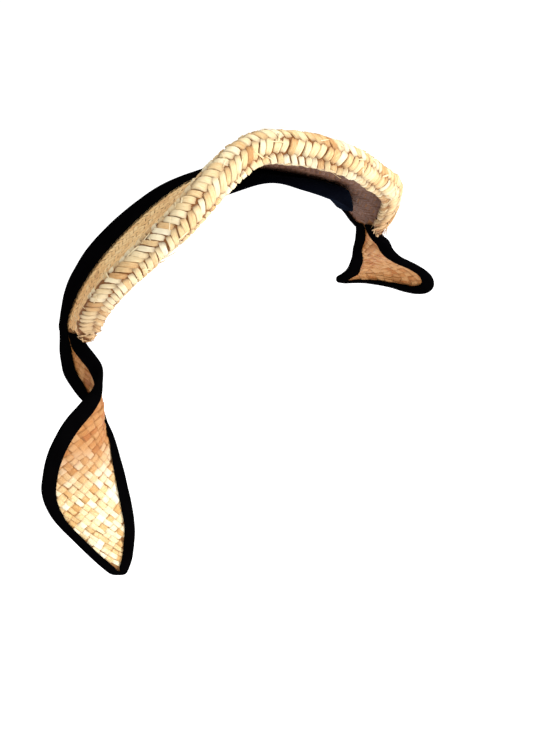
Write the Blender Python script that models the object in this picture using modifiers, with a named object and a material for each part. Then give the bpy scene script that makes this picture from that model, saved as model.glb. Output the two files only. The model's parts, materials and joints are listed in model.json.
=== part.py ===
"""A cocktail hat of plaited straw with velvet edges and two straw tails.

Metres, +Z up. The wearer faces -Y, and the wearer's left is +X. The origin is where the velvet
bandeau sits on the crown of the head.
"""

import math
from collections import namedtuple

import bpy
from mathutils import Vector

# Cloth and straw
STRAW_WALL = 0.0020
TAIL_WALL = 0.0016
VELVET_WALL = 0.0010
BANDEAU_WALL = 0.0016
FIT_GAP = 0.0004

# Head that the hat is made for, as an ellipsoid that touches the origin with its crown
HEAD_MIDDLE = Vector((0.0, 0.004, -0.095))
HEAD_HALF_WIDTH = 0.077
HEAD_HALF_DEPTH = 0.097
HEAD_HALF_HEIGHT = 0.095

# How finely the sheets are divided
CROWN_STATIONS = 22
SHELL_STEPS = 6
ROLL_STEPS = 11
ROLL_TURN = math.radians(292)
TAIL_STATIONS = 26
TAIL_STEPS = 5
BANDEAU_STATIONS = 16
BANDEAU_STEPS = 5
SLOPE_STEP = 0.05
TAIL_SLOPE_STEP = 0.02
MERGE_DISTANCE = 0.00005

# The straw shell from its front middle to the wearer's left end: the middle of the rolled front
# edge and the roll's radius, the back edge, and how far the shell bulges between the two.
CROWN_COLUMNS = ("x", "y", "z", "radius", "back_x", "back_y", "back_z", "bulge", "flap")
CROWN_HALF = (
    (0.0000, -0.0520, 0.0262, 0.0086, 0.0000, 0.0220, 0.0025, -0.0065, 0.0160),
    (0.0240, -0.0555, 0.0197, 0.0086, 0.0240, 0.0250, 0.0000, -0.0070, 0.0168),
    (0.0480, -0.0560, 0.0058, 0.0080, 0.0475, 0.0300, -0.0095, -0.0075, 0.0180),
    (0.0685, -0.0425, -0.0110, 0.0075, 0.0680, 0.0340, -0.0225, -0.0070, 0.0180),
    (0.0832, -0.0300, -0.0245, 0.0074, 0.0815, 0.0360, -0.0362, -0.0055, 0.0172),
    (0.0898, -0.0140, -0.0390, 0.0072, 0.0885, 0.0360, -0.0480, -0.0035, 0.0140),
    (0.0910, -0.0040, -0.0480, 0.0068, 0.0915, 0.0352, -0.0545, -0.0020, 0.0122),
    (0.0912, 0.0005, -0.0530, 0.0052, 0.0928, 0.0345, -0.0570, -0.0015, 0.0115),
    (0.0914, 0.0030, -0.0565, 0.0030, 0.0936, 0.0335, -0.0590, -0.0010, 0.0110),
)

# The tails, a row for each section down from the neck: the front edge, the back edge, how far
# the straw bows out between them, and how wide the velvet is.
TAIL_COLUMNS = ("front_x", "front_y", "front_z", "back_x", "back_y", "back_z", "bow", "flap")

# The neck of a tail hangs this far below the end of the shell, from its back edge over this share
# of its width. NECK_LOOK is how far back along the shell the way it runs is taken from.
NECK_FLAP = 0.0125
NECK_DROP = 0.0012
NECK_SHARE = 0.78
NECK_LOOK = 0.2
RIGHT_TAIL = (
    (-0.0922, 0.0090, -0.0625, -0.0958, 0.0315, -0.0645, 0.0000, 0.0125),
    (-0.0908, 0.0035, -0.0680, -0.0985, 0.0280, -0.0705, 0.0000, 0.0105),
    (-0.0903, -0.0010, -0.0745, -0.1003, 0.0240, -0.0785, -0.0020, 0.0080),
    (-0.0955, -0.0040, -0.0825, -0.0985, 0.0215, -0.0875, -0.0060, 0.0062),
    (-0.1053, -0.0040, -0.0888, -0.0950, 0.0185, -0.0965, -0.0090, 0.0056),
    (-0.1155, -0.0030, -0.0955, -0.0915, 0.0155, -0.1055, -0.0095, 0.0056),
    (-0.1245, 0.0000, -0.1065, -0.0900, 0.0110, -0.1170, -0.0070, 0.0056),
    (-0.1310, 0.0032, -0.1195, -0.0910, 0.0055, -0.1330, -0.0040, 0.0056),
    (-0.1341, 0.0056, -0.1330, -0.0928, 0.0010, -0.1500, -0.0025, 0.0054),
    (-0.1322, 0.0050, -0.1465, -0.0943, 0.0000, -0.1650, -0.0020, 0.0052),
    (-0.1264, 0.0038, -0.1595, -0.0970, 0.0000, -0.1745, -0.0010, 0.0050),
    (-0.1180, 0.0022, -0.1765, -0.1003, 0.0004, -0.1840, -0.0005, 0.0050),
    (-0.1108, 0.0010, -0.1884, -0.1048, 0.0008, -0.1910, 0.0000, 0.0050),
)
LEFT_TAIL = (
    (0.0932, 0.0088, -0.0625, 0.0944, 0.0345, -0.0640, 0.0000, 0.0105),
    (0.0968, 0.0095, -0.0672, 0.0944, 0.0375, -0.0700, 0.0000, 0.0085),
    (0.1004, 0.0120, -0.0749, 0.0945, 0.0420, -0.0765, 0.0000, 0.0066),
    (0.1090, 0.0170, -0.0844, 0.0948, 0.0460, -0.0825, -0.0015, 0.0056),
    (0.1215, 0.0233, -0.0943, 0.0955, 0.0510, -0.0875, -0.0035, 0.0052),
    (0.1312, 0.0280, -0.1042, 0.0965, 0.0560, -0.0915, -0.0045, 0.0052),
    (0.1338, 0.0320, -0.1120, 0.0975, 0.0600, -0.0945, -0.0055, 0.0054),
    (0.1302, 0.0375, -0.1150, 0.0983, 0.0640, -0.0970, -0.0055, 0.0056),
    (0.1240, 0.0460, -0.1133, 0.0990, 0.0680, -0.0995, -0.0050, 0.0056),
    (0.1185, 0.0555, -0.1102, 0.0995, 0.0720, -0.1015, -0.0030, 0.0054),
    (0.1110, 0.0680, -0.1082, 0.0995, 0.0770, -0.1040, -0.0010, 0.0048),
    (0.1030, 0.0800, -0.1078, 0.0990, 0.0820, -0.1065, 0.0000, 0.0046),
)

# Velvet folds: how much fuller they are halfway in, and how far the back edge's reaches inside the
# shell. On the tails: the least straw left bare each side of the middle, and at the tip how far up
# the tail and how near its middle the fold's inner ends lie.
FLAP_PUFF = 1.10
UNDER_FLAP = 0.0055
BARE_HALF = 0.0004
TIP_REACH = 0.12
TIP_SPREAD = 0.15
TIP_LOOK = 0.5

# The bandeau over the head, from the crown to the wearer's left: its front edge lies on the hair, at
# an angle round the head from straight up and lifted off it, and its back edge lies under the
# shell's, at a place that is counted in rows of the shell's table. It swells between the two, or
# hugs the shell's inner face from its back edge to reach.
BANDEAU_COLUMNS = ("angle", "front_y", "lift", "along", "swell", "hug", "reach")
BANDEAU_HALF = (
    (0.0, -0.0180, 0.0000, 0.0, 0.0027, 0.0, 0.0300),
    (18.0, -0.0150, 0.0008, 0.9, 0.0020, 0.3, 0.0380),
    (30.0, -0.0170, 0.0006, 1.7, 0.0010, 0.8, 0.0440),
    (40.3, -0.0120, 0.0018, 2.4, 0.0000, 1.0, 0.0470),
    (48.5, -0.0080, 0.0045, 3.1, 0.0000, 1.0, 0.0470),
    (55.5, -0.0040, 0.0080, 3.9, 0.0000, 1.0, 0.0320),
    (59.5, 0.0050, 0.0104, 4.7, 0.0000, 0.7, 0.0200),
)
BANDEAU_SEAT = 0.0010
BANDEAU_GAP = 0.0008
SWELL_SHAPE = 27 / 4

STRAW_COLOUR = (0.78, 0.60, 0.32, 1.0)
VELVET_COLOUR = (0.008, 0.008, 0.010, 1.0)


def mirrored(rows, flipped):
    """A half table and its mirror image as one table; flipped names the columns that change sign."""
    left = [[-value if i in flipped else value for i, value in enumerate(row)] for row in rows[:0:-1]]
    return left + [list(row) for row in rows]


def smooth(rows, place):
    """The row at a place along a table, on a smooth curve through its rows."""
    place = min(max(place, 0.0), len(rows) - 1.0)
    first = min(int(place), len(rows) - 2)
    t = place - first
    a = rows[first]
    b = rows[first + 1]
    before = rows[first - 1] if first > 0 else [2 * p - q for p, q in zip(a, b)]
    after = rows[first + 2] if first + 2 < len(rows) else [2 * q - p for p, q in zip(a, b)]
    result = []
    for p0, p1, p2, p3 in zip(before, a, b, after):
        slope_in = (p2 - p0) / 2
        slope_out = (p3 - p1) / 2
        result.append(
            p1 * (2 * t ** 3 - 3 * t ** 2 + 1)
            + slope_in * (t ** 3 - 2 * t ** 2 + t)
            + p2 * (3 * t ** 2 - 2 * t ** 3)
            + slope_out * (t ** 3 - t ** 2)
        )
    return result


CROWN_ROWS = mirrored(CROWN_HALF, (0, 4))
CROWN_FRONT = len(CROWN_HALF) - 1
CROWN_END = len(CROWN_ROWS) - 1
CrownFrame = namedtuple("CrownFrame", "middle back top forward out radius start bulge flap")


def crown_frame(place):
    """The shell's cross-section at a place along its table.

    start is the angle at which the shell runs into the roll, from straight out towards the front.
    """
    row = dict(zip(CROWN_COLUMNS, smooth(CROWN_ROWS, place)))
    middle = Vector((row["x"], row["y"], row["z"]))
    back = Vector((row["back_x"], row["back_y"], row["back_z"]))
    forward = (middle - back).normalized()
    out = (middle + back) / 2 - HEAD_MIDDLE
    out = (out - forward * out.dot(forward)).normalized()
    radius = row["radius"] - STRAW_WALL / 2
    start = math.atan2(4 * row["bulge"] - radius, (middle - back).length)
    top = middle + (out * math.cos(start) + forward * math.sin(start)) * radius
    return CrownFrame(middle, back, top, forward, out, radius, start, row["bulge"], row["flap"])


def roll_point(frame, angle):
    """A point of the rolled front edge, at an angle from straight out towards the front."""
    return frame.middle + (frame.out * math.cos(angle) + frame.forward * math.sin(angle)) * frame.radius


def shell_point(place, inward):
    """A point of the shell at a distance in from its back edge."""
    frame = crown_frame(place)
    t = inward / (frame.top - frame.back).length
    return frame.back.lerp(frame.top, t) + frame.out * frame.bulge * 4 * t * (1 - t)


def shell_width(place):
    """The shell's width at a place, from its back edge to the roll."""
    frame = crown_frame(place)
    return (frame.top - frame.back).length


def shell_facing(place, inward):
    """The way out of the shell at one of its points."""
    near = max(inward - VELVET_WALL, 0.0)
    across = shell_point(place, inward + VELVET_WALL) - shell_point(place, near)
    first = max(place - SLOPE_STEP, 0.0)
    second = min(place + SLOPE_STEP, CROWN_END)
    along = shell_point(second, inward) - shell_point(first, inward)
    return across.cross(along).normalized()


def crown_section(place):
    """Points of the straw sheet from its back edge over the shell and round the roll."""
    frame = crown_frame(place)
    width = shell_width(place)
    turn = ROLL_TURN - frame.start
    shell = [shell_point(place, width * step / SHELL_STEPS) for step in range(SHELL_STEPS)]
    roll = [roll_point(frame, frame.start + turn * step / ROLL_STEPS) for step in range(ROLL_STEPS + 1)]
    return shell + roll


def tail_rows(table, side):
    """A tail's table with its neck added, just below the end of the shell."""
    place = CROWN_END if side > 0 else 0
    end = crown_frame(place)
    ahead = crown_frame(place - NECK_LOOK * side)
    front = shell_point(place, shell_width(place) * NECK_SHARE)
    front = front + (end.middle - ahead.middle).normalized() * NECK_DROP
    back = end.back + (end.back - ahead.back).normalized() * NECK_DROP
    neck = [front.x, front.y, front.z, back.x, back.y, back.z, 0.0, NECK_FLAP]
    return [neck] + [list(row) for row in table]


def tail_edges(rows, place):
    """The front edge, the back edge and the bow of a tail at a place down it."""
    row = dict(zip(TAIL_COLUMNS, smooth(rows, place)))
    front = Vector((row["front_x"], row["front_y"], row["front_z"]))
    back = Vector((row["back_x"], row["back_y"], row["back_z"]))
    return front, back, row["bow"]


def tail_flap(rows, place):
    """How wide the velvet is at a place down a tail."""
    return smooth(rows, place)[TAIL_COLUMNS.index("flap")]


def tail_facing(rows, place):
    """The way that a tail's straw faces at a place down it, from front to back edge and down."""
    here = tail_edges(rows, place)
    above = tail_edges(rows, place - SLOPE_STEP)
    below = tail_edges(rows, place + SLOPE_STEP)
    down = (below[0] + below[1]) - (above[0] + above[1])
    return (here[1] - here[0]).cross(down).normalized()


def tail_point(rows, place, across):
    """A point of a tail: across is 0 at its front edge and 1 at its back edge."""
    front, back, bow = tail_edges(rows, place)
    return front.lerp(back, across) + tail_facing(rows, place) * bow * 4 * across * (1 - across)


def tail_normal(rows, place, across):
    """The way out of a tail's surface at one of its points."""
    up = tail_point(rows, max(place - TAIL_SLOPE_STEP, 0.0), across)
    down = tail_point(rows, min(place + TAIL_SLOPE_STEP, len(rows) - 1.0), across)
    near = tail_point(rows, place, max(across - TAIL_SLOPE_STEP, 0.0))
    far = tail_point(rows, place, min(across + TAIL_SLOPE_STEP, 1.0))
    return (far - near).cross(down - up).normalized()


def fold_section(edge, facing, outward, over, under, gap):
    """A velvet fold: from its inner end on one face, round the straw's edge, to the other face.

    over and under are the points halfway in and at the inner end on each face, with their facings.
    """
    corner = math.sqrt(0.5)
    (over_half, over_half_facing), (over_end, over_end_facing) = over
    (under_half, under_half_facing), (under_end, under_end_facing) = under
    return [
        over_end + over_end_facing * gap,
        over_half + over_half_facing * gap * FLAP_PUFF,
        edge + facing * gap,
        edge + (facing + outward) * gap * corner,
        edge + outward * gap,
        edge + (outward - facing) * gap * corner,
        edge - facing * gap,
        under_half - under_half_facing * gap * FLAP_PUFF,
        under_end - under_end_facing * gap,
    ]


def fold_gap(straw_wall):
    """From the middle of the straw to the middle of the velvet folded over it."""
    return straw_wall / 2 + FIT_GAP + VELVET_WALL / 2


def back_fold(place):
    """The velvet fold on the shell's back edge at a place along it."""
    flap = crown_frame(place).flap
    edge = shell_point(place, 0.0)
    facing = shell_facing(place, 0.0)
    inward = shell_point(place, VELVET_WALL) - edge
    outward = -(inward - facing * inward.dot(facing)).normalized()
    over, under = (
        [(shell_point(place, reach * part), shell_facing(place, reach * part)) for part in (0.5, 1.0)]
        for reach in (flap, min(flap, UNDER_FLAP))
    )
    return fold_section(edge, facing, outward, over, under, fold_gap(STRAW_WALL))


def tail_fold(rows):
    """The velvet fold all round a tail: down its front edge, round the tip and up its back edge."""
    last = len(rows) - 1.0
    gap = fold_gap(TAIL_WALL)
    sections = []
    stops = [(last * i / TAIL_STATIONS, 0.0) for i in range(TAIL_STATIONS + 1)]
    stops += [(last, 0.5)]
    stops += [(last * i / TAIL_STATIONS, 1.0) for i in range(TAIL_STATIONS, -1, -1)]
    points = [tail_point(rows, place, across) for place, across in stops]
    for i, (place, across) in enumerate(stops):
        edge = points[i]
        along = points[min(i + 1, len(points) - 1)] - points[max(i - 1, 0)]
        facing = tail_normal(rows, place, across)
        outward = along.cross(facing).normalized()
        middle = tail_point(rows, place, 0.5)
        if across == 0.5:
            outward = (edge - tail_point(rows, last - TIP_LOOK, 0.5)).normalized()
        elif outward.dot(middle - edge) > 0:
            outward = -outward
        width = (tail_point(rows, place, 1.0) - tail_point(rows, place, 0.0)).length
        if across == 0.5 or place == last:
            inner_place = last - TIP_REACH
            inner_across = 0.5 + (across - 0.5) * 2 * TIP_SPREAD
        else:
            inner_place = place
            share = min(tail_flap(rows, place) / width, 0.5 - BARE_HALF / width)
            inner_across = share if across == 0.0 else 1 - share
        halfway = ((place + inner_place) / 2, (across + inner_across) / 2)
        stops_in = (halfway, (inner_place, inner_across))
        flap = [(tail_point(rows, *stop), tail_normal(rows, *stop)) for stop in stops_in]
        sections.append(fold_section(edge, facing, outward, flap, flap, gap))
    return sections


BANDEAU_ROWS = mirrored(BANDEAU_HALF, (0, 3))


def on_head(angle, y, lift):
    """A point above the head: angle from straight up towards the wearer's left, y, and the lift."""
    share = math.sqrt(1 - ((y - HEAD_MIDDLE.y) / (HEAD_HALF_DEPTH + lift)) ** 2)
    across = (HEAD_HALF_WIDTH + lift) * math.sin(angle) * share
    up = (HEAD_HALF_HEIGHT + lift) * math.cos(angle) * share
    return HEAD_MIDDLE + Vector((across, y - HEAD_MIDDLE.y, up))


def bandeau_section(place):
    """Points across the bandeau from its front edge to its back edge."""
    row = dict(zip(BANDEAU_COLUMNS, smooth(BANDEAU_ROWS, place)))
    front = on_head(math.radians(row["angle"]), row["front_y"], row["lift"] + BANDEAU_WALL / 2)
    seat = CROWN_FRONT + row["along"]
    below = fold_gap(STRAW_WALL) + VELVET_WALL / 2 + BANDEAU_GAP + BANDEAU_WALL / 2
    back = shell_point(seat, BANDEAU_SEAT) - shell_facing(seat, BANDEAU_SEAT) * below
    out = ((front + back) / 2 - HEAD_MIDDLE).normalized()
    points = [front]
    for step in range(1, BANDEAU_STEPS + 1):
        t = step / BANDEAU_STEPS
        across = front.lerp(back, t) + out * row["swell"] * SWELL_SHAPE * t * (1 - t) ** 2
        inward = BANDEAU_SEAT + (row["reach"] - BANDEAU_SEAT) * (BANDEAU_STEPS - step) / (BANDEAU_STEPS - 1)
        lining = shell_point(seat, inward) - shell_facing(seat, inward) * below
        points.append(across.lerp(lining, row["hug"]))
    return points


def make_material(name, colour, roughness):
    material = bpy.data.materials.new(name)
    material.use_nodes = True
    shader = material.node_tree.nodes["Principled BSDF"]
    shader.inputs["Base Color"].default_value = colour
    shader.inputs["Roughness"].default_value = roughness
    shader.inputs["Metallic"].default_value = 0.0
    material.diffuse_color = colour
    return material


def make_sheet(name, sections, wall, material, collection, half=False):
    """A sheet through its sections, given its wall by Solidify; half is mirrored at X = 0."""
    across = len(sections[0])
    vertices = [point for section in sections for point in section]
    faces = []
    for row in range(len(sections) - 1):
        for column in range(across - 1):
            corner = row * across + column
            faces.append((corner, corner + 1, corner + across + 1, corner + across))
    mesh = bpy.data.meshes.new(name)
    mesh.from_pydata(vertices, [], faces)
    mesh.shade_smooth()
    mesh.materials.append(material)
    sheet = bpy.data.objects.new(name, mesh)
    collection.objects.link(sheet)
    if half:
        mirror = sheet.modifiers.new("Other half", "MIRROR")
        mirror.use_clip = True
        mirror.merge_threshold = MERGE_DISTANCE
    solid = sheet.modifiers.new("Wall", "SOLIDIFY")
    solid.thickness = wall
    solid.offset = 0.0
    solid.use_even_offset = True
    return sheet


def half_places(rows, stations):
    """Places from the middle of a mirrored table to its end."""
    front = (len(rows) - 1) // 2
    return [front + front * i / stations for i in range(stations + 1)]


def make_hat():
    for item in list(bpy.data.objects):
        bpy.data.objects.remove(item)
    hat = bpy.data.collections.new("cocktail_hat")
    bpy.context.scene.collection.children.link(hat)
    straw = make_material("plaited_straw", STRAW_COLOUR, 0.6)
    velvet = make_material("black_velvet", VELVET_COLOUR, 0.9)

    crown_places = half_places(CROWN_ROWS, CROWN_STATIONS)
    make_sheet("straw_crown", [crown_section(p) for p in crown_places], STRAW_WALL, straw, hat, half=True)
    make_sheet("back_binding", [back_fold(p) for p in crown_places], VELVET_WALL, velvet, hat, half=True)

    bandeau = [bandeau_section(p) for p in half_places(BANDEAU_ROWS, BANDEAU_STATIONS)]
    make_sheet("velvet_bandeau", bandeau, BANDEAU_WALL, velvet, hat, half=True)

    for side, name, table in ((-1, "right", RIGHT_TAIL), (1, "left", LEFT_TAIL)):
        rows = tail_rows(table, side)
        last = len(rows) - 1.0
        sections = [
            [tail_point(rows, last * i / TAIL_STATIONS, j / TAIL_STEPS) for j in range(TAIL_STEPS + 1)]
            for i in range(TAIL_STATIONS + 1)
        ]
        make_sheet("tail_" + name, sections, TAIL_WALL, straw, hat)
        make_sheet("tail_binding_" + name, tail_fold(rows), VELVET_WALL, velvet, hat)


make_hat()
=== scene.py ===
import json
import math
import random
from collections import namedtuple

import bmesh
import bpy
from mathutils import Matrix, Vector, noise

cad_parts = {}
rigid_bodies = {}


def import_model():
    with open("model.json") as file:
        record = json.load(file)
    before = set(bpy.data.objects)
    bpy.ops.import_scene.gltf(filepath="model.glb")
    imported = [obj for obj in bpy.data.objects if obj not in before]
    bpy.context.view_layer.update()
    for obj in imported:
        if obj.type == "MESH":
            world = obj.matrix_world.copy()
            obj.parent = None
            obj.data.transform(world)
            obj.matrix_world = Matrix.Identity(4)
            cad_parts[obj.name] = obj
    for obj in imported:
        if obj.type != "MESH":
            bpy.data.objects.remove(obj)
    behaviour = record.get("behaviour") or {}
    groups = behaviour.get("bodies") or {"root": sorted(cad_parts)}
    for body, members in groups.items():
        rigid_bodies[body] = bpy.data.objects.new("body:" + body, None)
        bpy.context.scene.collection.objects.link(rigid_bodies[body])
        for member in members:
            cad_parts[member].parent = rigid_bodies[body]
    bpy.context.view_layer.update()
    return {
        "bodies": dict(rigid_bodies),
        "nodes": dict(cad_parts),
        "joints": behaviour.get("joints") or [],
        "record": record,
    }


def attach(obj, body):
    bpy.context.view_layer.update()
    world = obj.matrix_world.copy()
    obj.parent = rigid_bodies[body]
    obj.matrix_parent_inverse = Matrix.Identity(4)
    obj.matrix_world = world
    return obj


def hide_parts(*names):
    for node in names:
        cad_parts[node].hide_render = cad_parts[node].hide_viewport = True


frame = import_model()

# Blender seeds its noise by the clock, so it is seeded here, and every run gives the same hat
NOISE_SEED = 7
noise.seed_set(NOISE_SEED)

# Cloth and straw of the solids
STRAW_WALL = 0.0020
TAIL_WALL = 0.0016
VELVET_WALL = 0.0010
BANDEAU_WALL = 0.0016
FIT_GAP = 0.0004
HEAD_MIDDLE = Vector((0.0, 0.004, -0.095))
HEAD_HALF_WIDTH = 0.077
HEAD_HALF_DEPTH = 0.097
HEAD_HALF_HEIGHT = 0.095
ROLL_TURN = math.radians(292)
SLOPE_STEP = 0.05
TAIL_SLOPE_STEP = 0.02
CROWN_COLUMNS = ("x", "y", "z", "radius", "back_x", "back_y", "back_z", "bulge", "flap")
CROWN_HALF = (
    (0.0000, -0.0520, 0.0262, 0.0086, 0.0000, 0.0220, 0.0025, -0.0065, 0.0160),
    (0.0240, -0.0555, 0.0197, 0.0086, 0.0240, 0.0250, 0.0000, -0.0070, 0.0168),
    (0.0480, -0.0560, 0.0058, 0.0080, 0.0475, 0.0300, -0.0095, -0.0075, 0.0180),
    (0.0685, -0.0425, -0.0110, 0.0075, 0.0680, 0.0340, -0.0225, -0.0070, 0.0180),
    (0.0832, -0.0300, -0.0245, 0.0074, 0.0815, 0.0360, -0.0362, -0.0055, 0.0172),
    (0.0898, -0.0140, -0.0390, 0.0072, 0.0885, 0.0360, -0.0480, -0.0035, 0.0140),
    (0.0910, -0.0040, -0.0480, 0.0068, 0.0915, 0.0352, -0.0545, -0.0020, 0.0122),
    (0.0912, 0.0005, -0.0530, 0.0052, 0.0928, 0.0345, -0.0570, -0.0015, 0.0115),
    (0.0914, 0.0030, -0.0565, 0.0030, 0.0936, 0.0335, -0.0590, -0.0010, 0.0110),
)
TAIL_COLUMNS = ("front_x", "front_y", "front_z", "back_x", "back_y", "back_z", "bow", "flap")
NECK_FLAP = 0.0125
NECK_DROP = 0.0012
NECK_SHARE = 0.78
NECK_LOOK = 0.2
RIGHT_TAIL = (
    (-0.0922, 0.0090, -0.0625, -0.0958, 0.0315, -0.0645, 0.0000, 0.0125),
    (-0.0908, 0.0035, -0.0680, -0.0985, 0.0280, -0.0705, 0.0000, 0.0105),
    (-0.0903, -0.0010, -0.0745, -0.1003, 0.0240, -0.0785, -0.0020, 0.0080),
    (-0.0955, -0.0040, -0.0825, -0.0985, 0.0215, -0.0875, -0.0060, 0.0062),
    (-0.1053, -0.0040, -0.0888, -0.0950, 0.0185, -0.0965, -0.0090, 0.0056),
    (-0.1155, -0.0030, -0.0955, -0.0915, 0.0155, -0.1055, -0.0095, 0.0056),
    (-0.1245, 0.0000, -0.1065, -0.0900, 0.0110, -0.1170, -0.0070, 0.0056),
    (-0.1310, 0.0032, -0.1195, -0.0910, 0.0055, -0.1330, -0.0040, 0.0056),
    (-0.1341, 0.0056, -0.1330, -0.0928, 0.0010, -0.1500, -0.0025, 0.0054),
    (-0.1322, 0.0050, -0.1465, -0.0943, 0.0000, -0.1650, -0.0020, 0.0052),
    (-0.1264, 0.0038, -0.1595, -0.0970, 0.0000, -0.1745, -0.0010, 0.0050),
    (-0.1180, 0.0022, -0.1765, -0.1003, 0.0004, -0.1840, -0.0005, 0.0050),
    (-0.1108, 0.0010, -0.1884, -0.1048, 0.0008, -0.1910, 0.0000, 0.0050),
)
LEFT_TAIL = (
    (0.0932, 0.0088, -0.0625, 0.0944, 0.0345, -0.0640, 0.0000, 0.0105),
    (0.0968, 0.0095, -0.0672, 0.0944, 0.0375, -0.0700, 0.0000, 0.0085),
    (0.1004, 0.0120, -0.0749, 0.0945, 0.0420, -0.0765, 0.0000, 0.0066),
    (0.1090, 0.0170, -0.0844, 0.0948, 0.0460, -0.0825, -0.0015, 0.0056),
    (0.1215, 0.0233, -0.0943, 0.0955, 0.0510, -0.0875, -0.0035, 0.0052),
    (0.1312, 0.0280, -0.1042, 0.0965, 0.0560, -0.0915, -0.0045, 0.0052),
    (0.1338, 0.0320, -0.1120, 0.0975, 0.0600, -0.0945, -0.0055, 0.0054),
    (0.1302, 0.0375, -0.1150, 0.0983, 0.0640, -0.0970, -0.0055, 0.0056),
    (0.1240, 0.0460, -0.1133, 0.0990, 0.0680, -0.0995, -0.0050, 0.0056),
    (0.1185, 0.0555, -0.1102, 0.0995, 0.0720, -0.1015, -0.0030, 0.0054),
    (0.1110, 0.0680, -0.1082, 0.0995, 0.0770, -0.1040, -0.0010, 0.0048),
    (0.1030, 0.0800, -0.1078, 0.0990, 0.0820, -0.1065, 0.0000, 0.0046),
)
FLAP_PUFF = 1.10
UNDER_FLAP = 0.0055
BARE_HALF = 0.0004
TIP_REACH = 0.12
TIP_SPREAD = 0.15
TIP_LOOK = 0.5
BANDEAU_COLUMNS = ("angle", "front_y", "lift", "along", "swell", "hug", "reach")
BANDEAU_HALF = (
    (0.0, -0.0180, 0.0000, 0.0, 0.0027, 0.0, 0.0300),
    (18.0, -0.0150, 0.0008, 0.9, 0.0020, 0.3, 0.0380),
    (30.0, -0.0170, 0.0006, 1.7, 0.0010, 0.8, 0.0440),
    (40.3, -0.0120, 0.0018, 2.4, 0.0000, 1.0, 0.0470),
    (48.5, -0.0080, 0.0045, 3.1, 0.0000, 1.0, 0.0470),
    (55.5, -0.0040, 0.0080, 3.9, 0.0000, 1.0, 0.0320),
    (59.5, 0.0050, 0.0104, 4.7, 0.0000, 0.7, 0.0200),
)
BANDEAU_SEAT = 0.0010
BANDEAU_GAP = 0.0008
SWELL_SHAPE = 27 / 4
TAIL_STATIONS = 60
BANDEAU_STEPS = 12

# The backing under the strands is thinner than the solid's wall. A bed is how far from the middle of
# the straw a plait's strands start. They rise past the wall's face on the roll and on the tails.
CROWN_BACKING = 0.0010
TAIL_BACKING = 0.0008
ROLL_BED = 0.00035
SHELL_BED = 0.00040
LINING_BED = 0.00035
TAIL_BED = 0.00025

# A plait's pitch from strand to strand, the lean of its strands off the way along it, how many each
# floats over, how far it tucks under them, how full it leaves the plait, its relief, and how uneven,
# tilted and rough it is. The rows start ahead of the sheet's edge.
Plait = namedtuple("Plait", "pitch lean floats tuck fullness relief unevenness tilt roughness ahead")
ROLL_KIND = Plait(0.00430, math.radians(63), 2, 0.22, 1.02, 0.00105, 0.14, 0.065, 0.00034, 0.0032)
SHELL_KIND = Plait(0.00270, math.radians(55), 2, 0.50, 0.97, 0.00050, 0.10, 0.020, 0.00008, 0.0)
LINING_KIND = Plait(0.00330, math.radians(55), 2, 0.50, 0.97, 0.00060, 0.12, 0.030, 0.00010, 0.0)
TAIL_KIND = Plait(0.00405, math.radians(46), 1, 0.48, 1.00, 0.00080, 0.17, 0.070, 0.00026, 0.0)
ROUGHNESS_SIZE = 0.0035
FINE_SHARE = 0.55
FINE_SIZE = 0.0011

# What chance does to each strand: a salt of its own, the lowest and the highest, and its share
CHANCES = {
    "along": (51.0, -1.0, 1.0, 0.6),
    "across": (67.0, -1.0, 1.0, 0.6),
    "tone": (11.0, 0.0, 1.0, 0.5),
    "turn": (23.0, -1.0, 1.0, 0.6),
    "length": (41.0, -1.0, 1.0, 0.5),
    "width": (29.0, -1.0, 0.5, 0.6),
    "height": (37.0, -1.0, 1.2, 2.0),
    "roll": (71.0, -1.0, 1.0, 2.0),
    "pitch": (83.0, -1.0, 1.0, 1.0),
}
STRAND_TONE = 0.5
ODD_ROWS_APART = 977.0

# A strand, 2 long and 2 wide: (along, width, height) down it, and (across, drop) over its top
STRAND_STATIONS = (
    (-1.0, 0.86, 0.04), (-0.84, 0.95, 0.42), (-0.56, 1.0, 0.80), (-0.22, 1.0, 0.98),
    (0.14, 1.0, 1.0), (0.50, 1.0, 0.86), (0.80, 0.96, 0.50), (1.0, 0.88, 0.04),
)
STRAND_PROFILE = (
    (-1.0, -0.75), (-0.90, -0.16), (-0.62, 0.02), (-0.36, -0.13), (-0.06, 0.08), (0.24, -0.10),
    (0.56, 0.03), (0.88, -0.20), (1.0, -0.75),
)
THIN_STATIONS = (
    (-1.0, 0.90, 0.08), (-0.72, 1.0, 0.66), (-0.24, 1.0, 0.97), (0.30, 1.0, 0.97), (0.76, 1.0, 0.62),
    (1.0, 0.90, 0.08),
)
THIN_PROFILE = ((-1.0, -0.60), (-0.70, -0.06), (0.0, 0.05), (0.70, -0.06), (1.0, -0.60))

# Slivers of straw that stand up from the roll
SLIVERS = 140
SLIVER_LEAN = 1.3
SLIVER_TIP = (0.05, 0.40)
SLIVER_LENGTH = (0.0018, 0.0042)
SLIVER_WIDTH = (0.00022, 0.00050)
SLIVER_RELIEF = 0.6
SLIVER_TONE = 0.35
SLIVER_MARGIN = 2

# Stations along and steps across each straw sheet, and how far in the crown's start and end, as
# crown_rows counts it
BACKING_GRID = (110, 44, 0.0, 2.0)
ROLL_GRID = (200, 44, 0.93, 2.0)
SHELL_GRID = (160, 28, 0.0, 1.13)
LINING_GRID = (160, 24, 0.0, 1.0)
TAIL_GRID = (110, 30)

# The rounded ends of the roll, and the laps that close the slits between pieces
CAP_STEPS = 5
CAP_TURN = math.radians(82)
SHELL_LAP = 0.0006
ROLL_BLEND = 0.0060
NECK_LAP = 0.0030
BAND_TUCK = 0.0012

# How uneven the velvet lies, and the stations along its two long pieces
PUCKER_SIZE = 0.0075
PUCKER = 0.00025
BACK_STATIONS = 110
BAND_STATIONS = 64

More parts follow.
